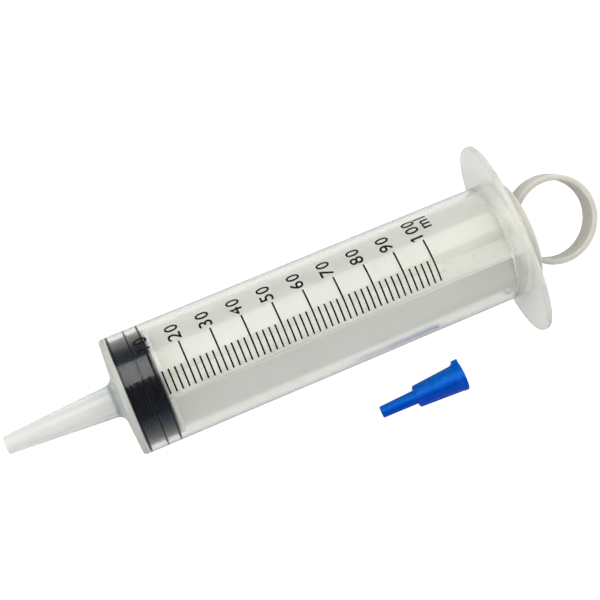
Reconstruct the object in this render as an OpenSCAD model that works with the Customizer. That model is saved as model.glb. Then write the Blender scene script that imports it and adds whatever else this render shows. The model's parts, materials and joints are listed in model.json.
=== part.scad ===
// Irrigation syringe of 100 ml with a catheter nozzle, finger wings, a ribbed plunger with a
// thumb ring, a rubber stopper, a printed scale, and the small-cone tip adapter that lies beside it.
// All lengths are in millimetres. The origin is the centre of the nozzle's open end. +X runs
// along the axis to the thumb ring, and +Z is up as the syringe lies with its wings level.

/* [Barrel] */
// Volume at the last line of the scale, in millilitres
capacity_ml = 100; // [60:10:120]
// Diameter of the bore that the stopper slides in
bore_d = 35.5; // [32:0.5:40]
// Thickness of the barrel's wall
barrel_wall = 1.3; // [1:0.1:2]
// Thickness of the wall at the front of the barrel
front_wall = 1.7; // [1.2:0.1:2.5]
// Slope of the front wall towards the nozzle, in degrees
front_slope = 4; // [2:1:8]
// Rounding of the barrel's front edge
front_round = 1.2; // [0.6:0.1:1.8]
// Length of the barrel behind the last line of the scale, up to the wings
barrel_reserve = 28.6; // [24:0.1:36]
// Distance of the retaining bead in the bore from the wings' front face
bead_setback = 4; // [3:0.5:6]
// Height of the retaining bead
bead_h = 0.35; // [0.2:0.05:0.5]

/* [Nozzle] */
// Length of the nozzle in front of the barrel
nozzle_len = 36.3; // [30:0.1:42]
// Outer diameter at the nozzle's tip
nozzle_tip_d = 5.8; // [5.4:0.1:6.4]
// Outer diameter at the nozzle's base
nozzle_base_d = 10.7; // [10:0.1:12]
// Thickness of the nozzle's wall
nozzle_wall = 1.1; // [0.9:0.1:1.3]
// Length of the straight bore at the tip
tip_land = 4; // [2:0.5:6]
// Rounding of the nozzle's outer tip edge
tip_round = 0.4; // [0.2:0.1:0.5]
// Fillet between the nozzle and the front wall
nozzle_fillet = 2.6; // [1.5:0.1:3]

/* [Finger flange] */
// Span of the two finger wings
flange_span = 64.2; // [58:0.2:72]
// Step of the flange's edge out from the barrel's wall above and below the axis
flange_step = 0.35; // [0.1:0.05:2]
// Thickness of the flange
flange_t = 2; // [1.5:0.1:3]
// How full the flange's outline is, where 2 is an ellipse
flange_fullness = 2.1; // [2:0.05:2.6]

/* [Scale] */
// Volume between two lines, in millilitres
minor_ml = 2; // [2:1:5]
// Volume between two long lines, in millilitres
major_ml = 10; // [10:10:20]
// Width of a printed line
line_w = 0.38; // [0.3:0.02:0.6]
// Thickness of the ink
ink_t = 0.05; // [0.03:0.01:0.1]
// Turn of the lines' lower ends from the top of the barrel, in degrees
low_turn = 19; // [10:1:30]
// Turn of the long lines' upper ends, in degrees
high_turn = 23.6; // [18:0.2:30]
// Turn of the short lines' upper ends, in degrees
short_turn = 2.8; // [0:0.2:8]

/* [Stopper] */
// Length of the stopper from its front lip to its back
stopper_len = 10.9; // [9:0.1:13]
// Width of the front sealing lip
lip_w = 1.1; // [0.8:0.1:1.6]
// Width of the middle and rear sealing ribs
seal_w = 0.8; // [0.6:0.1:1.2]
// Depth of the two grooves between the lips
groove_depth = 1; // [0.6:0.1:1.5]
// Clearance between the lips and the bore
seal_clear = 0.05; // [0.02:0.01:0.1]

/* [Plunger] */
// Clearance between the rod's front plate and the bore
rod_clear = 0.6; // [0.5:0.05:1.5]
// Step from the plate's rim in to the ribs' edges
rib_step = 0.15; // [0.1:0.05:0.5]
// Thickness of each of the rod's four ribs
rib_t = 1.4; // [1:0.1:3]
// Thickness of the round plate behind the stopper
plate_t = 1.5; // [1:0.1:2.5]
// Diameter of the head that snaps into the stopper
head_d = 16; // [12:0.5:20]
// Thickness of the head
head_t = 2.2; // [1.6:0.1:3]
// Diameter of the neck between the head and the plate
neck_d = 11; // [8:0.5:11]
// Step from the barrel's outer wall in to the thumb disk's edge
disk_step = 1.2; // [0.6:0.1:2]
// Thickness of the thumb disk
disk_t = 2; // [1.5:0.1:3]
// Rounding of the thumb disk's edge
disk_round = 0.3; // [0.2:0.1:0.7]
// Gap between the flange and the thumb disk when the syringe is empty
disk_gap = 0.8; // [0.5:0.1:2]
// Turn of the plunger about the axis, which levels the thumb ring at 0, in degrees
plunger_turn = 17; // [0:1:45]
// Turn of the rod's ribs from the thumb ring, in degrees
rib_turn = 8; // [0:1:45]

/* [Thumb ring] */
// Outer diameter of the thumb ring
ring_d = 29.1; // [26:0.1:34]
// Radial thickness of the ring
ring_t = 1.9; // [1.6:0.1:3]
// Width of the ring's band
ring_w = 8.6; // [6:0.2:12]
// Rounding of the ring's edges
ring_round = 0.5; // [0.3:0.1:0.8]
// Fillet between the ring and the thumb disk
ring_fillet = 1.6; // [1:0.1:2.4]

/* [Tip adapter] */
// Length of the small cone
cone_len = 12.3; // [9:0.1:14]
// Diameter at the end of the small cone
cone_tip_d = 3.94; // [3.9:0.01:4]
// Diameter that the small cone gains for each millimetre of length
cone_taper = 0.06; // [0.055:0.001:0.065]
// Diameter of the passage through the small cone
cone_bore_d = 2.3; // [1.8:0.1:2.5]
// Depth of the socket that takes the nozzle's tip
socket_depth = 15.8; // [12:0.1:18]
// Thickness of the floor between the small cone and the socket
socket_floor = 1.4; // [1:0.1:2]
// Thickness of the wall round the socket
socket_wall = 0.6; // [0.5:0.05:1]
// Height of the chamfer at the shoulder
shoulder_chamfer = 0.9; // [0.5:0.1:1]
// Number of grip ribs
grip_ribs = 3; // [3:1:6]
// Height of the grip ribs
grip_rib_h = 0.22; // [0.15:0.01:0.4]
// Width of the grip ribs
grip_rib_w = 1; // [0.8:0.1:1.6]
// Height of the collar round the socket's mouth
collar_h = 0.3; // [0.2:0.05:0.6]
// Width of the collar along the axis
collar_w = 1.7; // [1.2:0.1:2.4]
// Height of the pull tab above the socket's wall
tab_h = 1.3; // [0.8:0.1:2]
// Width of the pull tab across
tab_w = 3; // [2:0.1:4]
// Distance of the adapter's axis from the barrel's side
adapter_gap = 16.6; // [10:0.1:30]
// Distance of the adapter's tip from the nozzle's tip along the axis
adapter_x = 113; // [80:1:120]
// Turn of the adapter from the syringe's axis as it lies, in degrees
adapter_yaw = 1; // [-5:1:5]

/* [Hidden] */

// Round surfaces are smooth, and arcs in an outline are drawn in short steps.
$fn = 96;
arc_steps = 6;
outline_steps = 96;
overrun = 0.5;

// Edge of a cube that holds one millilitre
cube_edge = 10;

// Barrel and nozzle, from the tip at 0 backwards
bore_r = bore_d / 2;
barrel_r = bore_r + barrel_wall;
tip_r = nozzle_tip_d / 2;
base_r = nozzle_base_d / 2;
tip_bore_r = tip_r - nozzle_wall;
nozzle_slope = (base_r - tip_r) / nozzle_len;
front_x = wall_x(barrel_r);
bore_front_x = front_x + front_wall;
nozzle_bore_base_r = base_r - nozzle_wall;
seat_clear = 0.3;
zero_x = bore_front_x + seat_clear;
ml_len = pow(cube_edge, 3) / (PI * bore_r * bore_r);
scale_len = capacity_ml * ml_len;
flange_x = zero_x + scale_len + barrel_reserve;
barrel_end = flange_x + flange_t;
bead_x = flange_x - bead_setback;
bead_flank_share = 2;
bead_flank = bead_flank_share * bead_h;
flange_r = barrel_r + flange_step;
rest_z = -flange_r;
ink_clear = 0.02;

// Stopper, with the plunger's head in its socket
lip_r = bore_r - seal_clear;
groove_r = lip_r - groove_depth;
lip_flare = 0.2;
rib_mid_share = 0.56;
rib_mid_x = zero_x + rib_mid_share * stopper_len;
stopper_end = zero_x + stopper_len;
fit_clear = 0.08;
head_r = head_d / 2;
neck_r = neck_d / 2;
plate_clear = 0.3;
plate_x = stopper_end + plate_clear;
undercut_share = 0.3;
neck_x = stopper_end - undercut_share * stopper_len;
head_x = neck_x - head_t;
head_round = 0.6;

// Plunger rod, thumb disk and ring
rod_r = bore_r - rod_clear;
rib_r = rod_r - rib_step;
disk_r = barrel_r - disk_step;
disk_x = barrel_end + disk_gap;
disk_end = disk_x + disk_t;
flare_share = 0.75;
flare_run_share = 6;
rib_flare = flare_share * rod_clear;
rib_flare_len = flare_run_share * rod_clear;
ring_r = ring_d / 2;
hole_r = ring_r - ring_t;
ring_sink = 0.25;
ring_x = disk_x + ring_sink + ring_r;
foot_x = disk_end + ring_fillet;
foot_u = sqrt(pow(ring_r + ring_fillet, 2) - pow(ring_x - foot_x, 2));
foot_turn = atan2(foot_u, ring_x - foot_x);

// Tip adapter, drawn along its own axis from the small end at 0
cone_r = cone_tip_d / 2;
cone_base_r = cone_r + cone_len * cone_taper / 2;
cone_bore_r = cone_bore_d / 2;
socket_x = cone_len + socket_floor;
adapter_len = socket_x + socket_depth;
socket_end_r = tip_r;
socket_mouth_r = tip_r + nozzle_slope * socket_depth;
body_r0 = socket_end_r + socket_wall;
body_r1 = socket_mouth_r + socket_wall;
body_slope = (body_r1 - body_r0) / socket_depth;
shoulder_r = body_r0 - body_slope * socket_floor;
chamfer_x = cone_len + shoulder_chamfer;
chamfer_r = shoulder_r + body_slope * shoulder_chamfer;
collar_r = body_r1 + collar_h;
cone_round = 0.3;
// The adapter lies with its shoulder and the front edge of its collar on the table.
collar_x = adapter_len - collar_w;
adapter_tilt = atan((collar_r - chamfer_r) / (collar_x - chamfer_x));
adapter_y = -(barrel_r + adapter_gap);
adapter_z = rest_z + collar_r * cos(adapter_tilt) - collar_x * sin(adapter_tilt);

// Points of an arc about a centre, from one angle to another
function arc(centre, r, a0, a1, n = arc_steps) =
    [for (i = [0:n]) centre + r * [cos(a0 + (a1 - a0) * i / n), sin(a0 + (a1 - a0) * i / n)]];

// Place of the front wall's outer face at a distance from the axis
function wall_x(r) = nozzle_len + (r - base_r) * tan(front_slope);

// Point of the flange's oval outline at an angle
function oval(a, half_y, half_z) =
    [half_z * sign(cos(a)) * pow(abs(cos(a)), 2 / flange_fullness),
     half_y * sign(sin(a)) * pow(abs(sin(a)), 2 / flange_fullness)];

// Turns a shape drawn along Z, or an outline of [radius, place] points, onto the syringe's axis
module on_axis() {
    rotate([0, 90, 0]) children();
}

// Solid of revolution about the syringe's axis from a list of [place, radius] points
module turned(points) {
    on_axis() rotate_extrude() polygon([for (p = points) [p[1], p[0]]]);
}

// Disc about the syringe's axis
module disc(x, r, t) {
    translate([x, 0, 0]) on_axis() cylinder(h = t, r = r);
}

module barrel() {
    // The fillet's circle touches both the nozzle's cone and the sloping front wall.
    cone_turn = atan(nozzle_slope);
    fillet_r = base_r + nozzle_fillet * (1 / cos(cone_turn) - nozzle_slope / cos(front_slope))
               / (1 - nozzle_slope * tan(front_slope));
    fillet_centre = [wall_x(fillet_r) - nozzle_fillet / cos(front_slope), fillet_r];
    edge_r = barrel_r - front_round;
    edge_centre = [wall_x(edge_r) + front_round / cos(front_slope), edge_r];
    outer = concat(
        arc([tip_round, tip_r - tip_round], tip_round, 180, 90),
        arc(fillet_centre, nozzle_fillet, cone_turn - 90, -front_slope),
        arc(edge_centre, front_round, 180 - front_slope, 90),
        [[barrel_end, barrel_r]]);
    inner = [
        [barrel_end, bore_r],
        [bead_x + bead_flank, bore_r],
        [bead_x, bore_r - bead_h],
        [bead_x - bead_flank, bore_r],
        [bore_front_x, bore_r],
        [bore_front_x - (bore_r - nozzle_bore_base_r) * tan(front_slope), nozzle_bore_base_r],
        [tip_land, tip_bore_r],
        [0, tip_bore_r]];
    color("gainsboro", 0.45) {
        turned(concat(outer, inner));
        difference() {
            translate([flange_x, 0, 0]) on_axis() linear_extrude(height = flange_t)
                polygon([for (i = [0:outline_steps - 1])
                    oval(360 * i / outline_steps, flange_span / 2, flange_r)]);
            disc(flange_x - overrun, bore_r, flange_t + 2 * overrun);
        }
    }
}

// One printed line at a volume, from its lower end to its upper end
module scale_line(ml, high) {
    x = zero_x + ml * ml_len;
    on_axis() rotate([0, 0, 180 - high]) rotate_extrude(angle = low_turn + high)
        translate([barrel_r + ink_clear, x - line_w / 2]) square([ink_t, line_w]);
}

module scale_lines() {
    color("black")
    for (ml = [minor_ml:minor_ml:capacity_ml])
        scale_line(ml, ml % major_ml == 0 ? high_turn : short_turn);
}

module stopper() {
    nose_x = zero_x - (lip_r - nozzle_bore_base_r) * tan(front_slope);
    outline = [
        [nose_x, 0],
        [nose_x, nozzle_bore_base_r],
        [zero_x, lip_r - lip_flare],
        [zero_x + lip_flare, lip_r],
        [zero_x + lip_w, lip_r],
        [zero_x + lip_w + lip_flare, groove_r],
        [rib_mid_x - seal_w / 2 - lip_flare, groove_r],
        [rib_mid_x - seal_w / 2, lip_r],
        [rib_mid_x + seal_w / 2, lip_r],
        [rib_mid_x + seal_w / 2 + lip_flare, groove_r],
        [stopper_end - seal_w - 2 * lip_flare, groove_r],
        [stopper_end - seal_w - lip_flare, lip_r],
        [stopper_end - lip_flare, lip_r],
        [stopper_end, lip_r - lip_flare],
        [stopper_end, neck_r + fit_clear],
        [neck_x, neck_r + fit_clear],
        [neck_x, head_r + fit_clear],
        [head_x - fit_clear, head_r + fit_clear],
        [head_x - fit_clear, 0]];
    color([0.09, 0.09, 0.1]) turned(outline);
}

// The thumb ring's band about its own axis, with rounded outer edges
module ring_band() {
    h = ring_w / 2;
    e = ring_round;
    rotate_extrude() polygon(concat(
        arc([ring_r - e, h - e], e, 0, 90),
        [[hole_r, h], [hole_r, -h]],
        arc([ring_r - e, e - h], e, 270, 360)));
}

// Filling between the ring and the thumb disk on one side, with a hollow fillet
module ring_foot() {
    mid_r = ring_r - ring_t / 2;
    h = ring_w - 2 * ring_round;
    translate([0, 0, -h / 2]) linear_extrude(height = h)
        polygon(concat(
            arc([foot_x, foot_u], ring_fillet, 180, 360 - foot_turn),
            [for (i = [0:arc_steps])
                let (a = foot_turn * (1 - i / arc_steps))
                [ring_x - mid_r * cos(a), mid_r * sin(a)]],
            [[disk_end - disk_t / 3, 0],
             [disk_end - disk_t / 3, foot_u]]));
}

module plunger() {
    spine = [
        [head_x, 0],
        [head_x, head_r - head_round],
        [head_x + head_round, head_r],
        [neck_x - fit_clear, head_r],
        [neck_x - fit_clear, neck_r],
        [plate_x, neck_r],
        [plate_x, rod_r],
        [plate_x + plate_t, rod_r],
        [plate_x + plate_t, 0]];
    disk = concat(
        [[disk_x, 0]],
        arc([disk_x + disk_round, disk_r - disk_round], disk_round, 180, 90),
        arc([disk_end - disk_round, disk_r - disk_round], disk_round, 90, 0),
        [[disk_end, 0]]);
    rib = [
        [plate_x + plate_t / 2, rib_r],
        [disk_x - rib_flare_len, rib_r],
        [disk_x + disk_t / 2, rib_r + rib_flare],
        [disk_x + disk_t / 2, -rib_r - rib_flare],
        [disk_x - rib_flare_len, -rib_r],
        [plate_x + plate_t / 2, -rib_r]];
    color("gainsboro", 0.8) rotate([plunger_turn, 0, 0]) {
        turned(spine);
        turned(disk);
        for (turn = [0, 90])
            rotate([turn + rib_turn, 0, 0]) translate([0, 0, -rib_t / 2]) linear_extrude(height = rib_t)
                polygon(rib);
        translate([ring_x, 0, 0]) ring_band();
        for (turn = [0, 180])
            rotate([turn, 0, 0]) ring_foot();
    }
}

module tip_adapter() {
    outline = concat(
        [[0, cone_bore_r], [0, cone_r - cone_round], [cone_round, cone_r]],
        [[cone_len, cone_base_r],
         [cone_len, chamfer_r - shoulder_chamfer],
         [chamfer_x, chamfer_r],
         [collar_x - collar_h, body_r1 - body_slope * (collar_w + collar_h)],
         [collar_x, collar_r],
         [adapter_len, collar_r],
         [adapter_len, socket_mouth_r],
         [socket_x, socket_end_r],
         [socket_x, cone_bore_r]]);
    rib = [
        [cone_len, cone_base_r],
        [cone_len, shoulder_r + grip_rib_h],
        [adapter_len - collar_w / 2, body_r1 + grip_rib_h],
        [adapter_len - collar_w / 2, body_r1 - socket_wall / 2],
        [socket_x, body_r0 - socket_wall / 2]];
    tab = [
        [collar_x - collar_w, body_r1 - socket_wall / 2],
        [collar_x - collar_w, body_r1],
        [collar_x, body_r1 + tab_h - cone_round],
        [collar_x + cone_round, body_r1 + tab_h],
        [adapter_len - cone_round, body_r1 + tab_h],
        [adapter_len, body_r1 + tab_h - cone_round],
        [adapter_len, body_r1 - socket_wall / 2]];
    color([0, 0.3, 0.75])
    translate([adapter_x, adapter_y, adapter_z]) rotate([0, -adapter_tilt, adapter_yaw]) {
        turned(outline);
        for (i = [0:grip_ribs - 1])
            rotate([360 * i / grip_ribs, 0, 0]) translate([0, 0, -grip_rib_w / 2])
                linear_extrude(height = grip_rib_w) polygon(rib);
        translate([0, 0, -tab_w / 2]) linear_extrude(height = tab_w) polygon(tab);
    }
}

barrel();
scale_lines();
stopper();
plunger();
tip_adapter();
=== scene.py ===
import json
import math

import bpy
from mathutils import Matrix, Vector


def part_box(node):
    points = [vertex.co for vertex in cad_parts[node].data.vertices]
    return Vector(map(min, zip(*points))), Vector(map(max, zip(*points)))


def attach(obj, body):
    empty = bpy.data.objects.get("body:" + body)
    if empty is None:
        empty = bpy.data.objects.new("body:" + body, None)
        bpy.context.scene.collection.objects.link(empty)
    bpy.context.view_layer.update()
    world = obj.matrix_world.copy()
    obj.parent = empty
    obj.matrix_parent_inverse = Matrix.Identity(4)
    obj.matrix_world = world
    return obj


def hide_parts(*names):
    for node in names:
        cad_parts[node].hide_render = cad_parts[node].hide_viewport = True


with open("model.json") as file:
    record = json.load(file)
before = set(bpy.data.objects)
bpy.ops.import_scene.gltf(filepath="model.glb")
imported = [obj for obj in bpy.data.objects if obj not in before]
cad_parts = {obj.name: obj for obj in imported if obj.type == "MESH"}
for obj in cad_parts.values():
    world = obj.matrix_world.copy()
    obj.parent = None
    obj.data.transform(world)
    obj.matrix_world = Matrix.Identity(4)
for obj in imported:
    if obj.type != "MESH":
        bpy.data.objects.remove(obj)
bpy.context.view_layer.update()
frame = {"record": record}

# Sizes are in millimetres, and places run along the syringe's axis from the nozzle's tip.
MM = 0.001
TURN_STEPS = 128

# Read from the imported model
barrel_box = [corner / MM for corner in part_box("barrel")]
plunger_box = [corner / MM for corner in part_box("plunger")]
stopper_box = [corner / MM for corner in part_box("stopper")]
mounts = {mount["name"]: mount for mount in frame["record"]["mounts"]}

# Barrel
bore_r = 17.75
barrel_r = 19.05
barrel_end = barrel_box[1].x
flange_t = 2.0
flange_x = barrel_end - flange_t
flange_y = barrel_box[1].y
flange_z = barrel_box[1].z
flange_fullness = 2.1
flange_root = 0.7
front_slope = math.radians(4)
front_wall = 1.7
front_round = 1.2
bead_x = flange_x - 4
bead_h = 0.35
bead_flank = 0.7

# Nozzle
nozzle_len = 36.3
nozzle_tip_r = 2.9
nozzle_base_r = 5.35
nozzle_bore_r = 1.8
nozzle_bore_base_r = 4.25
nozzle_land = 4.0
nozzle_fillet = 2.6
nozzle_round = 0.4
front_x = nozzle_len + (barrel_r - nozzle_base_r) * math.tan(front_slope) + front_wall

# Printed scale
zero_x = 39.258
ml_len = 1000 / (math.pi * bore_r ** 2)
line_w = 0.53
line_low = math.radians(-19)
long_line_high = math.radians(23.6)
short_line_high = math.radians(2.8)
ink_t = 0.05
ink_r = barrel_r + 0.02

# Numbers and unit, which start beyond the long lines
digit_size = 5.95
digit_space = 1.19
digit_step = 3.54
digit_bold = 0.055
number_foot = 1.62
number_start = 8.2
unit_foot = 4.95
unit_start = 11.3

# Stopper
stopper_len = 10.9
stopper_end = stopper_box[1].x
stopper_nose_r = 4.25
stopper_front_r = 17.45
stopper_rear_r = 17.3
lip_r = bore_r + 0.015
lip_round = 0.25
lip_flank = 0.9
groove_r = 17.2
neck_r = 5.5
head_r = 8.0
socket_clear = 0.08

# Plunger
plunger_turn = math.radians(17)
rib_turn = math.radians(8)
head_x = plunger_box[0].x
head_t = 2.04
neck_x = head_x + head_t + socket_clear
plate_x = stopper_end + 0.3
plate_t = 1.5
plate_r = 17.15
rib_r = 17.0
rib_t = 1.4
disk_x = barrel_end + 0.8
disk_t = 2.0
disk_r = 17.85
disk_end = disk_x + disk_t
flare_len = 3.6
flare_r = 17.45
ring_r = 14.55
ring_hole_r = 12.65
ring_w = 8.6
ring_x = plunger_box[1].x - ring_r
foot_fillet = 1.6

# Tip adapter, along its own axis from its small end
adapter_tip = Vector(mounts["small_cone"]["pos_m"])
adapter_axis = Vector(mounts["adapter_socket"]["axis"])
adapter_len = 29.5
cone_len = 12.3
cone_tip_r = 1.97
cone_base_r = 2.34
cone_bore_r = 1.15
socket_x = 13.7
socket_r = 2.9
socket_mouth_r = 3.966
body_r = 3.5
body_mouth_r = 4.566
collar_x = adapter_len - 1.7
collar_r = 4.866
grip_ribs = 6
grip_rib_w = 1.0
grip_rib_h = 0.22
tab_h = 1.3
tab_w = 3.0
tab_len = 3.4

# Camera fitted to the photograph
camera_place = Vector((0.04147, -0.03606, 0.40326))
camera_lens = 77.952
camera_turns = (0.106, -0.1445, -0.3922)

# Ground and lamp, in metres
stage_middle = Vector((0.1, 0, 0))
ground_size = 3
key_place = Vector((0.02, 0.30, 0.52))
key_size = (0.9, 0.46)
key_level = 2.4
key_color = (1, 1, 0.98)

# Brightness of the room by its angle from overhead, in degrees toward +Y
room_walls = [
    (-90, (0.55, 0.59, 0.65)),
    (-72, (0.36, 0.43, 0.56)),
    (-60, (0.10, 0.12, 0.16)),
    (5, (0.04, 0.055, 0.085)),
    (20, (0.30, 0.30, 0.30)),
    (55, (0.22, 0.25, 0.33)),
    (80, (0.28, 0.32, 0.42)),
    (90, (0.60, 0.60, 0.60)),
]


def pick_nothing():
    """Leaves no object selected, because an operator acts on all that is."""
    bpy.ops.object.select_all(action="DESELECT")


def take(piece):
    """Makes one object the only selected and the active one."""
    pick_nothing()
    piece.select_set(True)
    bpy.context.view_layer.objects.active = piece


def rename(piece, name):
    """Gives an object and its mesh one name."""
    piece.name = name
    piece.data.name = name


def named(name):
    """Names the new object, puts its place into its mesh, and returns it."""
    piece = bpy.context.object
    rename(piece, name)
    bpy.ops.object.transform_apply(location=True, rotation=True, scale=True)
    return piece


def arc(x, r, radius, start, end, steps=6):
    """Places and radii along an arc about (x, r), from one angle to another in degrees."""
    points = []
    for i in range(steps + 1):
        angle = math.radians(start + (end - start) * i / steps)
        points.append((x + radius * math.cos(angle), r + radius * math.sin(angle)))
    return points


def hold_spans(rings):
    """Adds a ring near both ends of each long span, which keeps its smooth shading true."""
    reach = 0.8
    held = rings[:1]
    for first, last in zip(rings, rings[1:]):
        length = math.hypot(last[0] - first[0], last[1] - first[1])
        if length > 4 * reach:
            for share in (reach / length, 1 - reach / length):
                held.append(tuple(a + (b - a) * share for a, b in zip(first, last)))
        held.append(last)
    return held


def close_up():
    """Merges the seams of the mesh in edit mode, points its faces outward, and leaves edit mode."""
    bpy.ops.mesh.select_all(action="SELECT")
    bpy.ops.mesh.remove_doubles(threshold=1e-6)
    bpy.ops.mesh.normals_make_consistent(inside=False)
    bpy.ops.object.mode_set(mode="OBJECT")


def turned(name, rings, through=False, steps=TURN_STEPS):
    """Extrudes a circle along +X from ring to ring.

    A ring is (place, radius) or (place, half width in y, half height in z). With through, the last
    ring returns to the first and joins it, as in a tube; otherwise both ends are closed by a face.
    """
    rings = [ring if len(ring) == 3 else (ring[0], ring[1], ring[1]) for ring in rings]
    x, half_y = rings[0][:2]
    pick_nothing()
    bpy.ops.mesh.primitive_circle_add(
        vertices=steps,
        radius=half_y * MM,
        fill_type="NOTHING" if through else "NGON",
        location=(x * MM, 0, 0),
        rotation=(0, math.pi / 2, 0),
    )
    piece = named(name)
    bpy.ops.object.mode_set(mode="EDIT")
    bpy.ops.mesh.select_all(action="SELECT")
    if through:
        rings = rings + rings[:1]
    rings = hold_spans(rings)
    for (x0, y0, z0), (x1, y1, z1) in zip(rings, rings[1:]):
        bpy.ops.mesh.extrude_region_move(TRANSFORM_OT_translate={"value": ((x1 - x0) * MM, 0, 0)})
        bpy.ops.transform.resize(value=(1, y1 / y0, z1 / z0), center_override=(x1 * MM, 0, 0))
    close_up()
    return piece


def smooth(piece, angle):
    """Smooth shading, with edges sharper than the angle kept sharp."""
    take(piece)
    bpy.ops.object.shade_smooth_by_angle(angle=math.radians(angle))


def turn(piece, angle, axis):
    """Turns a piece's mesh about an axis."""
    piece.data.transform(Matrix.Rotation(angle, 4, axis))


def apply_modifier(piece, kind, **settings):
    """Adds one modifier, sets it, and applies it."""
    take(piece)
    modifier = piece.modifiers.new(kind.title(), kind)
    for setting, value in settings.items():
        setattr(modifier, setting, value)
    bpy.ops.object.modifier_apply(modifier=modifier.name)


def round_edges(piece, width, segments=3):
    """Bevels a piece's sharp edges."""
    apply_modifier(piece, "BEVEL", width=width * MM, segments=segments, limit_method="ANGLE")


def repeat(piece, count, step):
    """Copies a mesh along the barrel, at equal steps."""
    apply_modifier(
        piece,
        "ARRAY",
        count=count,
        use_relative_offset=False,
        use_constant_offset=True,
        constant_offset_displace=(step * MM, 0, 0),
    )


def join_solids(piece, *others):
    """Fuses other solids into a piece."""
    for other in others:
        apply_modifier(piece, "BOOLEAN", operation="UNION", object=other, solver="EXACT")
        bpy.data.objects.remove(other)


def cut_solids(piece, *cutters):
    """Cuts solids out of a piece."""
    for cutter in cutters:
        apply_modifier(piece, "BOOLEAN", operation="DIFFERENCE", object=cutter, solver="EXACT")
        bpy.data.objects.remove(cutter)


def block(name, low, high):
    """A box between two corners."""
    pick_nothing()
    centre = [(a + b) / 2 * MM for a, b in zip(low, high)]
    bpy.ops.mesh.primitive_cube_add(size=1, location=centre)
    bpy.context.object.scale = [(b - a) * MM for a, b in zip(low, high)]
    return named(name)


def upright_post(name, x, y, radius, height, steps=TURN_STEPS):
    """A round cutter along Z, as far above the axis as below it."""
    pick_nothing()
    bpy.ops.mesh.primitive_cylinder_add(
        vertices=steps, radius=radius * MM, depth=height * MM, location=(x * MM, y * MM, 0)
    )
    return named(name)


# The pieces


def wall_x(r):
    """Place of the front wall's outer face at a distance from the axis."""
    return nozzle_len + (r - nozzle_base_r) * math.tan(front_slope)


def barrel_outside():
    """Rings of the barrel's outside, from the nozzle's tip to the flange's front face."""
    slope = (nozzle_base_r - nozzle_tip_r) / nozzle_len
    cone_turn = math.atan(slope)
    wall_turn = math.degrees(front_slope)
    fillet_rise = nozzle_fillet * (1 / math.cos(cone_turn) - slope / math.cos(front_slope))
    fillet_r = nozzle_base_r + fillet_rise / (1 - slope * math.tan(front_slope))
    fillet_x = wall_x(fillet_r) - nozzle_fillet / math.cos(front_slope)
    edge_r = barrel_r - front_round
    edge_x = wall_x(edge_r) + front_round / math.cos(front_slope)
    rings = arc(nozzle_round, nozzle_tip_r - nozzle_round, nozzle_round, 180, 90)
    rings += arc(fillet_x, fillet_r, nozzle_fillet, math.degrees(cone_turn) - 90, -wall_turn, 10)
    rings += arc(edge_x, edge_r, front_round, 180 - wall_turn, 90)
    low_share = 0.1
    for x, r in arc(flange_x - flange_root, barrel_r + flange_root, flange_root, 270, 360):
        rings.append((x, r, barrel_r + (r - barrel_r) * low_share))
    return rings


def flange_rings():
    """Rings round the flange's edge, which is rounded more at the wings' ends than over the barrel."""
    edge_y = 0.6
    edge_z = 0.2
    rings = []
    for x, outward in arc(flange_x + edge_y, 0, edge_y, 180, 90) + arc(barrel_end - edge_y, 0, edge_y, 90, 0):
        share = outward / edge_y
        rings.append((x, flange_y - edge_y * (1 - share), flange_z - edge_z * (1 - share)))
    return rings


def barrel_inside():
    """Rings of the barrel's inside, from the open end over the retaining bead to the nozzle's tip."""
    mouth_round = 0.3
    chamfer = nozzle_round / 2
    bead_steps = 8
    rings = arc(barrel_end - mouth_round, bore_r + mouth_round, mouth_round, 0, -90, 4)
    for i in range(bead_steps + 1):
        share = 1 - 2 * i / bead_steps
        rings.append((bead_x + share * bead_flank, bore_r - bead_h * (1 + math.cos(math.pi * share)) / 2))
    rings += [(front_x, bore_r)]
    rings += [(front_x - (bore_r - nozzle_bore_base_r) * math.tan(front_slope), nozzle_bore_base_r)]
    rings += [(nozzle_land, nozzle_bore_r), (chamfer, nozzle_bore_r), (0, nozzle_bore_r + chamfer)]
    return rings


def fill_out(piece):
    """Makes the flange's outline a little fuller than an ellipse."""
    first_x = flange_x - 0.01
    first_r = barrel_r + 0.04
    for vertex in piece.data.vertices:
        across, up = vertex.co.y / MM, vertex.co.z / MM
        if vertex.co.x / MM < first_x or math.hypot(across, up) < first_r:
            continue
        u, v = abs(across) / flange_y, abs(up) / flange_z
        reach = math.hypot(u, v) / (u ** flange_fullness + v ** flange_fullness) ** (1 / flange_fullness)
        vertex.co.y *= reach
        vertex.co.z *= reach


def make_barrel():
    """The barrel, its nozzle, front wall, bead and finger wings, as one shell."""
    piece = turned("barrel_shell", barrel_outside() + flange_rings() + barrel_inside(), through=True)
    fill_out(piece)
    smooth(piece, 32)
    return piece


def wrap_on_barrel(piece):
    """Rolls flat print, drawn with y along the arc, round the barrel."""
    for vertex in piece.data.vertices:
        angle = vertex.co.y / MM / barrel_r
        radius = ink_r * MM + vertex.co.z
        vertex.co.y = radius * math.sin(angle)
        vertex.co.z = radius * math.cos(angle)


def scale_strip(name, high, first_ml, step_ml, count):
    """A row of printed lines, equally spaced along the barrel."""
    arc_steps = 24
    low_y, high_y = line_low * barrel_r, high * barrel_r
    place = ((zero_x + first_ml * ml_len) * MM, (low_y + high_y) / 2 * MM, 0)
    pick_nothing()
    bpy.ops.mesh.primitive_grid_add(x_subdivisions=1, y_subdivisions=arc_steps, size=1, location=place)
    bpy.context.object.scale = (line_w * MM, (high_y - low_y) * MM, 1)
    piece = named(name)
    apply_modifier(piece, "SOLIDIFY", thickness=ink_t * MM, offset=1)
    repeat(piece, count, step_ml * ml_len)
    return piece


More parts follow.
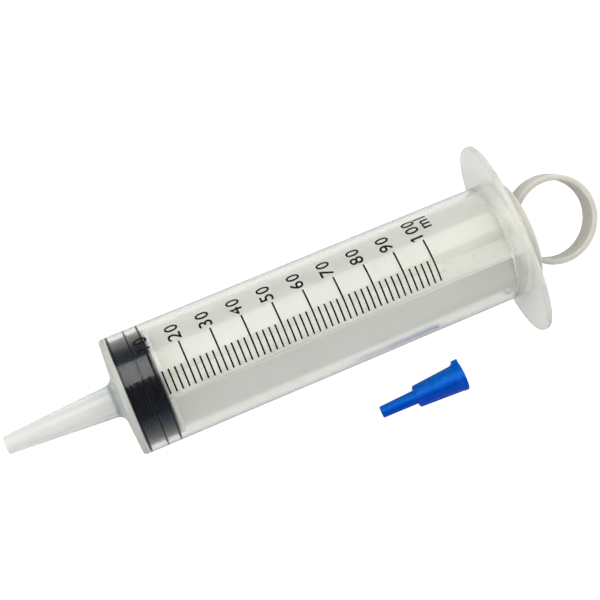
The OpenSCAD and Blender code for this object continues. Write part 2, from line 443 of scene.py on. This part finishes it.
def make_scale_lines():
    """The scale: a long line at each 10 ml, and short lines at each 2 ml between them."""
    long_lines = scale_strip("scale_marks", long_line_high, 10, 10, 10)
    short_lines = scale_strip("short_lines", short_line_high, 2, 2, 4)
    repeat(short_lines, 10, 10 * ml_len)
    take(long_lines)
    short_lines.select_set(True)
    bpy.ops.object.join()
    wrap_on_barrel(long_lines)
    return long_lines


def stroke(name, x, y, across, up, depth=(0, ink_t)):
    """A box in a word that starts at (x, y), between two places across the word and two heights."""
    return block(name, (x - up[1], y + across[0], depth[0]), (x - up[0], y + across[1], depth[1]))


def trim_upper_left(piece, x, y, across, up):
    """Cuts away the upper left of a slanted line, in a word that starts at (x, y)."""
    take(piece)
    bpy.ops.object.mode_set(mode="EDIT")
    bpy.ops.mesh.select_all(action="SELECT")
    place = ((x - up[0]) * MM, (y + across[0]) * MM, 0)
    normal = (across[1] - across[0], up[1] - up[0], 0)
    bpy.ops.mesh.bisect(plane_co=place, plane_no=normal, use_fill=True, clear_inner=True)
    bpy.ops.object.mode_set(mode="OBJECT")


def numeral_four(x, y):
    """The numeral 4 from straight strokes, because the built-in font's closes up when made bold."""
    left, top = 0.01, 4.17
    slant_low, slant_right = 1.62, 2.09
    stem_left, stem_right = 1.73, 2.42
    stem_foot = -0.05
    bar_low, bar_high = 1.28, 1.91
    bar_right = 2.86
    hole_across, hole_up = (0.96, stem_left), (bar_high, 2.96)
    overlap = 0.12
    piece = stroke("numeral_four", x, y, (left, stem_right), (bar_low, top))
    trim_upper_left(piece, x, y, (left, slant_right), (slant_low, top))
    opening = stroke("opening", x, y, hole_across, hole_up, depth=(-1, 1))
    trim_upper_left(opening, x, y, hole_across, hole_up)
    cut_solids(piece, opening)
    foot = stroke("foot", x, y, (stem_left, stem_right), (stem_foot, bar_low + overlap))
    bar_end = stroke("bar_end", x, y, (stem_right - overlap, bar_right), (bar_low, bar_high))
    join_solids(piece, foot, bar_end)
    return piece


def one_flag(x, y):
    """The short slanted stroke at the head of the numeral 1, for a word that starts at (x, y)."""
    flag_up, flag_across = 3.62, 0.95
    flag_w, flag_len = 0.5, 1.35
    pick_nothing()
    bpy.ops.mesh.primitive_cube_add(size=1)
    flag = bpy.context.object
    flag.scale = (flag_w * MM, flag_len * MM, ink_t * MM)
    flag.rotation_euler = (0, 0, math.radians(48))
    flag.location = ((x - flag_up) * MM, (y + flag_across) * MM, ink_t / 2 * MM)
    return named("flag")


def print_word(word, x, y):
    """One word of the scale, lying flat with its foot toward the thumb ring."""
    if word.startswith("4"):
        piece = numeral_four(x, y)
        join_solids(piece, print_word(word[1:], x, y + digit_step))
        rename(piece, "word_" + word)
        return piece
    pick_nothing()
    bpy.ops.object.text_add(location=(x * MM, y * MM, ink_t / 2 * MM), rotation=(0, 0, math.pi / 2))
    text = bpy.context.object
    text.data.body = word
    text.data.size = digit_size * MM
    text.data.space_character = digit_space
    text.data.offset = digit_bold * MM
    text.data.extrude = ink_t / 2 * MM
    bpy.ops.object.convert(target="MESH")
    piece = named("word_" + word)
    if word.startswith("1"):
        join_solids(piece, one_flag(x, y))
    return piece


def cut_in_strips(piece):
    """Cuts flat print along the barrel into narrow strips, so that it bends smoothly round it."""
    first_y, strip_w, strips = 8.0, 0.4, 24
    take(piece)
    bpy.ops.object.mode_set(mode="EDIT")
    for i in range(strips):
        bpy.ops.mesh.select_all(action="SELECT")
        bpy.ops.mesh.bisect(plane_co=(0, (first_y + strip_w * i) * MM, 0), plane_no=(0, 1, 0))
    close_up()


def make_scale_numbers():
    """The numbers 10 to 100 and the unit, rolled round the barrel beyond the long lines."""
    foot_drift = -0.01
    start_drift = 0.005
    third_digit_shift = -0.9
    words = []
    for ml in range(10, 101, 10):
        x = zero_x + ml * ml_len + number_foot + foot_drift * ml
        y = number_start + start_drift * ml + (third_digit_shift if ml == 100 else 0)
        words.append(print_word(str(ml), x, y))
    words.append(print_word("ml", zero_x + 100 * ml_len + unit_foot, unit_start))
    take(words[0])
    for word in words[1:]:
        word.select_set(True)
    bpy.ops.object.join()
    piece = bpy.context.object
    rename(piece, "scale_numbers")
    cut_in_strips(piece)
    wrap_on_barrel(piece)
    return piece


def lip(start, end):
    """Rings over one sealing lip, rounded at both edges and standing between two grooves."""
    flank = [(0.35, 0.05), (0.175, 0.25)]
    rings = [(start - away, groove_r + up) for away, up in flank]
    rings += arc(start + lip_round, lip_r - lip_round, lip_round, 180, 90, 4)
    rings += arc(end - lip_round, lip_r - lip_round, lip_round, 90, 0, 4)
    rings += [(end + away, groove_r + up) for away, up in reversed(flank)]
    return rings


def groove(start, end):
    """Rings of the even part of the groove between two lips."""
    return [(start + lip_flank, groove_r), (end - lip_flank, groove_r)]


def make_stopper():
    """The rubber stopper: three lips, two broad grooves, and a socket for the plunger's head."""
    nose_x = stopper_box[0].x
    middle_share = 0.56
    middle_x = zero_x + middle_share * stopper_len
    middle_half_w = 0.4
    front_lip = (zero_x, zero_x + 1.1)
    middle_lip = (middle_x - middle_half_w, middle_x + middle_half_w)
    rear_lip = (stopper_end - 1.0, stopper_end - 0.1)
    socket_wall_r = head_r + socket_clear
    throat_r = neck_r + socket_clear
    throat_round = 0.3
    rings = [(nose_x, stopper_nose_r), (zero_x, stopper_front_r)]
    rings += lip(*front_lip)[2:]
    rings += groove(front_lip[1], middle_lip[0])
    rings += lip(*middle_lip)
    rings += groove(middle_lip[1], rear_lip[0])
    rings += lip(*rear_lip)[:-2]
    rings += [(stopper_end, stopper_rear_r), (stopper_end, throat_r + throat_round)]
    rings += [(stopper_end - throat_round, throat_r), (neck_x, throat_r)]
    rings += [(neck_x, socket_wall_r), (head_x - socket_clear, socket_wall_r)]
    piece = turned("stopper_rubber", rings)
    smooth(piece, 40)
    return piece


def plunger_spine():
    """Head, neck and front plate of the plunger."""
    head_round = 0.6
    plate_round = 0.3
    rings = [(head_x, head_r - head_round)]
    rings += arc(head_x + head_round, head_r - head_round, head_round, 180, 90)[1:]
    rings += [(neck_x - socket_clear, head_r), (neck_x - socket_clear, neck_r), (plate_x, neck_r)]
    rings += arc(plate_x + plate_round, plate_r - plate_round, plate_round, 180, 90, 4)
    rings += arc(plate_x + plate_t - plate_round, plate_r - plate_round, plate_round, 90, 0, 4)
    return turned("spine", rings)


def plunger_rib(name, angle):
    """One rib through the axis, with rounded edges, spreading a little at the thumb disk."""
    piece = block(name, (plate_x + plate_t / 2, -rib_t / 2, -rib_r), (disk_x + disk_t / 2, rib_t / 2, rib_r))
    bpy.ops.object.mode_set(mode="EDIT")
    bpy.ops.mesh.select_all(action="SELECT")
    bpy.ops.mesh.bisect(plane_co=((disk_x - flare_len) * MM, 0, 0), plane_no=(1, 0, 0))
    bpy.ops.mesh.select_all(action="DESELECT")
    bpy.ops.object.mode_set(mode="OBJECT")
    for vertex in piece.data.vertices:
        vertex.select = vertex.co.x > disk_x * MM
    bpy.ops.object.mode_set(mode="EDIT")
    bpy.ops.transform.resize(value=(1, 1, flare_r / rib_r), center_override=(disk_x * MM, 0, 0))
    bpy.ops.object.mode_set(mode="OBJECT")
    round_edges(piece, 0.3)
    turn(piece, angle, "X")
    return piece


def plunger_disk():
    """The thumb disk behind the barrel's open end."""
    edge = 0.3
    rings = arc(disk_x + edge, disk_r - edge, edge, 180, 90)
    rings += arc(disk_end - edge, disk_r - edge, edge, 90, 0)
    return turned("disk", rings)


def ring_band():
    """The thumb ring, a band about an upright axis."""
    half = ring_w / 2
    edge = 0.6
    rings = arc(edge - half, ring_r - edge, edge, 180, 90)
    rings += arc(half - edge, ring_r - edge, edge, 90, 0)
    rings += arc(half - edge, ring_hole_r + edge, edge, 0, -90)
    rings += arc(edge - half, ring_hole_r + edge, edge, 270, 180)
    piece = turned("ring", rings, through=True)
    turn(piece, math.pi / 2, "Y")
    piece.data.transform(Matrix.Translation((ring_x * MM, 0, 0)))
    return piece


def ring_foot():
    """The web between ring and disk, hollowed by a fillet on each side."""
    reach = ring_r + foot_fillet
    fillet_x = disk_end + foot_fillet
    fillet_y = math.sqrt(reach ** 2 - (ring_x - fillet_x) ** 2)
    end_x = ring_x - (ring_x - fillet_x) * ring_r / reach
    half = ring_w / 2 - 0.5
    foot = block("foot", (disk_end - disk_t / 2, -fillet_y, -half), (end_x, fillet_y, half))
    posts = [
        upright_post("post_1", fillet_x, fillet_y, foot_fillet, 2 * ring_w),
        upright_post("post_2", fillet_x, -fillet_y, foot_fillet, 2 * ring_w),
        upright_post("post_3", ring_x, 0, (ring_hole_r + ring_r) / 2, 2 * ring_w),
    ]
    cut_solids(foot, *posts)
    return foot


def make_plunger():
    """The plunger moulding: spine, four ribs, disk, ring and its web, fused and turned as it lies."""
    piece = plunger_spine()
    rib_a = plunger_rib("rib_a", rib_turn)
    rib_b = plunger_rib("rib_b", rib_turn + math.pi / 2)
    join_solids(piece, rib_a, rib_b, plunger_disk(), ring_foot(), ring_band())
    rename(piece, "plunger_moulding")
    turn(piece, plunger_turn, "X")
    smooth(piece, 32)
    apply_modifier(piece, "WEIGHTED_NORMAL", keep_sharp=True)
    return piece


def adapter_rib(name, angle):
    """One of the fine ribs along the adapter's body, which rises with the body toward the rim."""
    slope = (body_mouth_r - body_r) / (adapter_len - socket_x)
    root_r = 3.2
    low_r = body_r + grip_rib_h
    high_r = low_r + slope * (collar_x - socket_x)
    piece = block(name, (cone_len + 0.3, -grip_rib_w / 2, root_r), (collar_x, grip_rib_w / 2, low_r))
    for vertex in piece.data.vertices:
        if vertex.co.x > socket_x * MM and vertex.co.z > body_r * MM:
            vertex.co.z = high_r * MM
    round_edges(piece, 0.15, segments=2)
    turn(piece, angle, "X")
    return piece


def adapter_tab():
    """The tab that stands out from the adapter's rim, with a hollow flank."""
    root_r = 4.2
    start = adapter_len - tab_len
    top = body_mouth_r + tab_h
    hollow_y = top + 0.25
    hollow_r = 1.6
    piece = block("tab", (start, root_r, -tab_w / 2), (adapter_len, top, tab_w / 2))
    cut_solids(piece, upright_post("tab_hollow", start, hollow_y, hollow_r, height=8, steps=64))
    round_edges(piece, 0.3)
    return piece


def adapter_outside():
    """Rings of the adapter's outside, from the small end over the body to the rim's end face."""
    edge = 0.3
    cone_root = 0.2
    shoulder = 0.45
    shoulder_face_r = body_r - 0.9
    collar_front = 0.2
    rings = arc(edge, cone_tip_r - edge, edge, 180, 90)
    rings += [(cone_len - cone_root, cone_base_r), (cone_len, cone_base_r + cone_root)]
    rings += [(cone_len, shoulder_face_r)]
    rings += arc(cone_len + shoulder, body_r - 0.5, shoulder, 180, 90)
    rings += [(collar_x - 1.0, body_mouth_r - 0.17), (collar_x - edge, body_mouth_r)]
    rings += [(collar_x, collar_r - 0.1)]
    rings += arc(collar_x + edge, collar_r - collar_front, collar_front, 120, 90, 2)
    rings += arc(adapter_len - edge, collar_r - edge, edge, 90, 0, 4)
    return rings


def adapter_inside():
    """Rings of the adapter's inside, from the socket's mouth to the small end."""
    edge = 0.15
    rings = arc(adapter_len - edge, socket_mouth_r + edge, edge, 0, -90, 3)
    rings += [(socket_x, socket_r), (socket_x, cone_bore_r), (edge, cone_bore_r), (0, cone_bore_r + edge)]
    return rings


def make_adapter():
    """The blue adapter: a small cone, a ribbed body with a socket, a rim and a tab."""
    piece = turned("adapter_moulding", adapter_outside() + adapter_inside(), through=True, steps=96)
    ribs = [adapter_rib("grip_rib_%d" % i, 2 * math.pi * (i + 0.5) / grip_ribs) for i in range(grip_ribs)]
    join_solids(piece, adapter_tab(), *ribs)
    tilt = math.asin(adapter_axis.z)
    yaw = math.atan2(adapter_axis.y, adapter_axis.x)
    lie = Matrix.Rotation(yaw, 4, "Z") @ Matrix.Rotation(-tilt, 4, "Y")
    piece.data.transform(Matrix.Translation(adapter_tip) @ lie)
    smooth(piece, 35)
    return piece


# The materials


class Graph:
    """A node tree, and short calls that add nodes to it."""

    def __init__(self, tree):
        self.nodes = tree.nodes
        self.links = tree.links

    def add(self, kind, **settings):
        """A new node with its settings. The other calls return one output, or a list of them."""
        node = self.nodes.new("ShaderNode" + kind)
        for setting, value in settings.items():
            setattr(node, setting, value)
        return node

    def compute(self, operation, first, second=None):
        """One operation on one or two numbers, the second an output or a fixed number."""
        node = self.add("Math", operation=operation)
        self.links.new(first, node.inputs[0])
        if isinstance(second, (int, float)):
            node.inputs[1].default_value = second
        elif second is not None:
            self.links.new(second, node.inputs[1])
        return node.outputs["Value"]

    def remap(self, value, start, end, low=0, high=1, **settings):
        """Moves from a low number to a high one as a value goes from a start to an end."""
        node = self.add("MapRange", **settings)
        for socket, number in (("From Min", start), ("From Max", end), ("To Min", low), ("To Max", high)):
            node.inputs[socket].default_value = number
        self.links.new(value, node.inputs["Value"])
        return node.outputs["Result"]

    def ease(self, value, start, end):
        """0 before a start and 1 after an end, with a soft step between them."""
        return self.remap(value, start, end, interpolation_type="SMOOTHSTEP")

    def parts(self, vector):
        """The three parts of a vector, by their axis."""
        split = self.add("SeparateXYZ")
        self.links.new(vector, split.inputs["Vector"])
        return split.outputs

    def blend(self, share, first, second):
        """A colour between two others, each a fixed colour or another blend."""
        mix = self.add("Mix", data_type="RGBA")
        self.links.new(share, mix.inputs["Factor"])
        for socket, color in (("A", first), ("B", second)):
            if isinstance(color, tuple):
                mix.inputs[socket].default_value = (*color, 1)
            else:
                self.links.new(color, mix.inputs[socket])
        return mix.outputs["Result"]


class Finish(Graph):
    """A material with one Principled shader, and short calls that add what it needs."""

    def __init__(self, name, color, **sockets):
        self.material = bpy.data.materials.new(name)
        self.material.use_nodes = True
        super().__init__(self.material.node_tree)
        self.shader = self.nodes["Principled BSDF"]
        self.shader.inputs["Base Color"].default_value = (*color, 1)
        for socket, value in sockets.items():
            self.shader.inputs[socket.replace("_", " ")].default_value = value
        self.place = self.add("TexCoord").outputs["Object"]

    def mapped(self, socket, value):
        """The place on the piece, with one setting of a Mapping node."""
        mapping = self.add("Mapping")
        mapping.inputs[socket].default_value = value
        self.links.new(self.place, mapping.inputs["Vector"])
        return mapping.outputs["Vector"]

    def noise(self, scale, detail=2.0, stretch=(1, 1, 1)):
        """A noise pattern on the piece, in features per metre, stretched along an axis."""
        noise = self.add("TexNoise")
        noise.inputs["Scale"].default_value = scale
        noise.inputs["Detail"].default_value = detail
        self.links.new(self.mapped("Scale", stretch), noise.inputs["Vector"])
        return noise.outputs["Fac"]

    def spread(self, pattern, low=0, high=1):
        """Maps a pattern's middle part to a range of numbers."""
        return self.remap(pattern, 0.3, 0.7, low, high)

    def mottled(self, scale, detail, dark, light):
        """A colour that noise moves between two others."""
        return self.blend(self.spread(self.noise(scale, detail)), dark, light)

    def along(self, start, end, axis="X"):
        """0 before one place on an axis and 1 after another, both in millimetres."""
        return self.ease(self.parts(self.place)[axis], start * MM, end * MM)

    def rib_edge(self, start, end):
        """1 on the upper rib's edge past a distance across it, in millimetres from its middle."""
        own = self.parts(self.mapped("Rotation", (-plunger_turn - rib_turn, 0, 0)))
        on_edge = self.remap(own["Z"], (rib_r - 0.6) * MM, (rib_r - 0.5) * MM)
        return self.both(on_edge, self.remap(own["Y"], start * MM, end * MM))

    def both(self, first, second):
        """The product of two shares."""
        return self.compute("MULTIPLY", first, second)

    def paint(self, color):
        """Uses a blend as the base colour."""
        self.links.new(color, self.shader.inputs["Base Color"])

    def drive(self, socket, share, first, second):
        """Moves one of the shader's numbers from a first value to a second as a share goes from 0 to 1."""
        self.links.new(self.remap(share, 0, 1, first, second), self.shader.inputs[socket])

    def rough(self, pattern, low, high):
        """Lets a pattern vary the roughness."""
        self.links.new(self.spread(pattern, low, high), self.shader.inputs["Roughness"])

    def bump(self, pattern, height):
        """Lets a pattern raise the surface, in metres."""
        bump = self.add("Bump")
        bump.inputs["Distance"].default_value = height
        self.links.new(pattern, bump.inputs["Height"])
        self.links.new(bump.outputs["Normal"], self.shader.inputs["Normal"])


def clear_finish():
    """Barrel plastic: clear in the wall, milkier in the nozzle, the front and the flange, with painted
    reflection streaks on the nozzle, painted shade on the front wall and a painted shade band round the
    nozzle's root.
    """
    finish = Finish(
        "clear_polypropylene", (0.85, 0.86, 0.82), IOR=1.42, Transmission_Weight=0.97, Roughness=0.14
    )
    wall = finish.mottled(60, 3, (0.96, 0.965, 0.925), (0.985, 0.99, 0.95))
    tube = finish.blend(finish.along(0, 0.8 * nozzle_len), (0.87, 0.875, 0.845), (0.98, 0.98, 0.945))
    # Painted reflection streaks along the nozzle, darker lengthwise bands in its colour.
    nozzle_reflection_streaks = finish.spread(finish.noise(520, 2, (0.05, 1, 1)))
    tube = finish.blend(nozzle_reflection_streaks, tube, (0.82, 0.83, 0.80))
    # The front wall is painted darker than the nozzle and wall, as painted shade.
    front = finish.blend(finish.along(nozzle_len - 1, nozzle_len + 0.5), tube, (0.76, 0.765, 0.71))
    body = finish.blend(finish.along(front_x - 0.2, front_x + 0.4), front, wall)
    # Painted shade: a grey-blue band round the nozzle's root.
    root_shade_start = finish.along(nozzle_len - 2.2, nozzle_len - 1.2)
    root_shade_end = finish.along(nozzle_len + 0.1, nozzle_len - 0.7)
    body = finish.blend(finish.both(root_shade_start, root_shade_end), body, (0.50, 0.58, 0.61))
    finish.paint(finish.blend(finish.along(flange_x - 3, flange_x), body, (0.955, 0.955, 0.915)))
    before_flange = finish.remap(finish.along(flange_x, flange_x - 5), 0, 1, 0.3, 1)
    clearness = finish.both(finish.along(front_x, front_x + 0.6), before_flange)
    finish.drive("Transmission Weight", clearness, 0.6, 1)
    finish.drive("Roughness", finish.along(flange_x - 6.5, flange_x - 4.5), 0.12, 0.26)
    return finish.material


def ink_finish():
    """Printed ink, a little uneven."""
    finish = Finish("printed_ink", (0.005, 0.005, 0.004), Roughness=0.5, Specular_IOR_Level=0.08)
    finish.paint(finish.mottled(900, 3, (0.003, 0.003, 0.002), (0.008, 0.008, 0.006)))
    finish.rough(finish.noise(1500), 0.4, 0.6)
    return finish.material


def rubber_finish():
    """Black stopper rubber, wet with silicone oil."""
    finish = Finish("oiled_rubber", (0.006, 0.007, 0.010), Roughness=0.3, Specular_IOR_Level=0.08)
    finish.paint(finish.mottled(400, 3, (0.004, 0.005, 0.008), (0.008, 0.009, 0.013)))
    finish.rough(finish.noise(700), 0.24, 0.36)
    finish.bump(finish.noise(1200, 3), 0.00005)
    return finish.material


def milky_finish():
    """Milky plunger plastic, which lets soft light through; the rod is painted lighter than the disk and ring
    as painted light behind the barrel wall, darker toward the disk as painted shade, with a painted shade
    line and a painted highlight line on the upper rib's edge.
    """
    finish = Finish(
        "milky_polypropylene",
        (0.8, 0.8, 0.76),
        IOR=1.42,
        Roughness=0.3,
        Subsurface_Weight=1,
        Subsurface_Scale=0.004,
        Subsurface_Radius=(1, 1, 0.9),
    )
    # The rod is painted much lighter than the disk and ring of the same plastic, as painted light where it
    # lies behind the barrel wall.
    rod_with_painted_light = finish.mottled(80, 3, (0.97, 0.972, 0.915), (0.99, 0.99, 0.935))
    # Painted shade: the rod darkens toward the thumb disk.
    rod_with_painted_light = finish.blend(finish.along(100, 165), rod_with_painted_light, (0.875, 0.87, 0.83))
    # A painted shade line, then a painted highlight line, along the upper rib's edge.
    rod_with_painted_light = finish.blend(finish.rib_edge(0.5, 0.05), rod_with_painted_light, (0.70, 0.70, 0.66))
    rod_with_painted_light = finish.blend(finish.rib_edge(0.05, -0.05), rod_with_painted_light, (1, 1, 0.98))
    ring = finish.mottled(120, 3, (0.455, 0.44, 0.395), (0.51, 0.49, 0.445))
    finish.paint(finish.blend(finish.along(disk_x - 0.3, disk_x + 0.3), rod_with_painted_light, ring))
    finish.rough(finish.noise(300, 2), 0.26, 0.38)
    return finish.material


def blue_finish():
    """Glossy blue adapter plastic, with painted shade on the side away from the lamp."""
    middle_y = adapter_tip.y / MM
    finish = Finish("blue_polypropylene", (0.0, 0.1, 0.6), Roughness=0.3, Specular_IOR_Level=0.08)
    upper = finish.mottled(300, 3, (0.0, 0.10, 0.50), (0.0, 0.125, 0.58))
    # Painted shade: a darker copy of the blue for the side away from the lamp.
    lower_painted_shade = finish.mottled(300, 3, (0.0, 0.04, 0.34), (0.0, 0.055, 0.40))
    finish.paint(finish.blend(finish.along(middle_y - 0.9, middle_y + 0.7, "Y"), lower_painted_shade, upper))
    finish.rough(finish.noise(600, 2), 0.2, 0.32)
    finish.bump(finish.noise(900, 3), 0.00004)
    return finish.material


def seen_directly(graph, straight, sent_on, mirrored):
    """One strength for the camera's rays, others for rays through clear and off glossy pieces, else 0."""
    path = graph.add("LightPath").outputs
    camera = graph.compute("MULTIPLY", path["Is Camera Ray"], straight)
    clear = graph.compute("MULTIPLY", path["Is Transmission Ray"], sent_on)
    glossy = graph.compute("MULTIPLY", path["Is Glossy Ray"], mirrored)
    return graph.compute("MAXIMUM", graph.compute("MAXIMUM", camera, clear), glossy)


def floor_finish():
    """Ground that is white to the camera, duller through clear and glossy pieces, with a faint shadow."""
    material = bpy.data.materials.new("white_ground")
    material.use_nodes = True
    graph = Graph(material.node_tree)
    sockets = graph.nodes["Principled BSDF"].inputs
    sockets["Base Color"].default_value = (0.4, 0.4, 0.4, 1)
    sockets["Roughness"].default_value = 1
    sockets["Specular IOR Level"].default_value = 0
    sockets["Emission Color"].default_value = (1, 1, 1, 1)
    glow = seen_directly(graph, straight=0.85, sent_on=0.53, mirrored=0.2)
    graph.links.new(glow, sockets["Emission Strength"])
    return material


# The stage


def make_floor():
    """The ground that the syringe lies on."""
    pick_nothing()
    bpy.ops.mesh.primitive_plane_add(size=ground_size, location=(stage_middle.x, 0, barrel_box[0].z * MM))
    floor = named("ground")
    floor.data.materials.append(floor_finish())


def make_key_light():
    """A soft rectangular lamp of an even brightness, which faces the syringe's middle."""
    pick_nothing()
    bpy.ops.object.light_add(type="AREA", location=key_place)
    lamp = bpy.context.object
    lamp.name = "key"
    lamp.data.shape = "RECTANGLE"
    lamp.data.size, lamp.data.size_y = key_size
    lamp.data.energy = key_level * math.pi * key_size[0] * key_size[1]
    lamp.data.color = key_color
    lamp.rotation_euler = (key_place - stage_middle).to_track_quat("Z", "Y").to_euler()


def make_world():
    """A room with bright ends, a dark ceiling and pale sides, which the camera sees as plain white."""
    world = bpy.data.worlds.new("soft_room")
    world.use_nodes = True
    graph = Graph(world.node_tree)
    direction = graph.parts(graph.add("TexCoord").outputs["Generated"])
    lean = graph.compute("ARCTAN2", direction["Y"], direction["Z"])
    walls = graph.add("ValToRGB")
    graph.links.new(graph.remap(lean, -math.pi / 2, math.pi / 2), walls.inputs["Fac"])
    stops = walls.color_ramp.elements
    stops[0].color = (*room_walls[0][1], 1)
    stops[1].color = (*room_walls[-1][1], 1)
    for degrees, color in room_walls[1:-1]:
        stops.new(0.5 + degrees / 180).color = (*color, 1)
    white = (1, 1, 1)
    bright = (1.6, 1.6, 1.6)
    ends = graph.blend(graph.ease(lean, -1.0, 0.3), bright, white)
    toward_end = graph.ease(graph.compute("ABSOLUTE", direction["X"]), 0.15, 0.35)
    room = graph.blend(toward_end, walls.outputs["Color"], ends)
    seen = graph.blend(graph.add("LightPath").outputs["Is Camera Ray"], room, white)
    graph.links.new(seen, graph.nodes["Background"].inputs["Color"])
    bpy.context.scene.world = world


def make_camera():
    """The photograph's view."""
    pick_nothing()
    bpy.ops.object.camera_add()
    camera = bpy.context.object
    tilt_x, tilt_y, roll = camera_turns
    turns = Matrix.Rotation(tilt_x, 4, "X") @ Matrix.Rotation(tilt_y, 4, "Y") @ Matrix.Rotation(roll, 4, "Z")
    camera.matrix_world = Matrix.Translation(camera_place) @ turns
    camera.data.sensor_width = 36
    camera.data.lens = camera_lens
    camera.data.clip_start = 0.01
    bpy.context.scene.camera = camera


def finish_piece(piece, material, body, node):
    """Gives a piece its material, slot and body, and hides the CAD node it stands for."""
    piece.data.materials.clear()
    piece.data.materials.append(material)
    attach(piece, body)
    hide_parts(node)


make_camera()
make_world()
make_key_light()
make_floor()

finish_piece(make_barrel(), clear_finish(), "barrel", "barrel")
ink = ink_finish()
finish_piece(make_scale_lines(), ink, "barrel", "scale_lines")
finish_piece(make_scale_numbers(), ink, "barrel", "scale_lines")
finish_piece(make_stopper(), rubber_finish(), "stopper", "stopper")
finish_piece(make_plunger(), milky_finish(), "plunger", "plunger")
finish_piece(make_adapter(), blue_finish(), "adapter", "tip_adapter")

bpy.context.scene.view_settings.view_transform = "Standard"
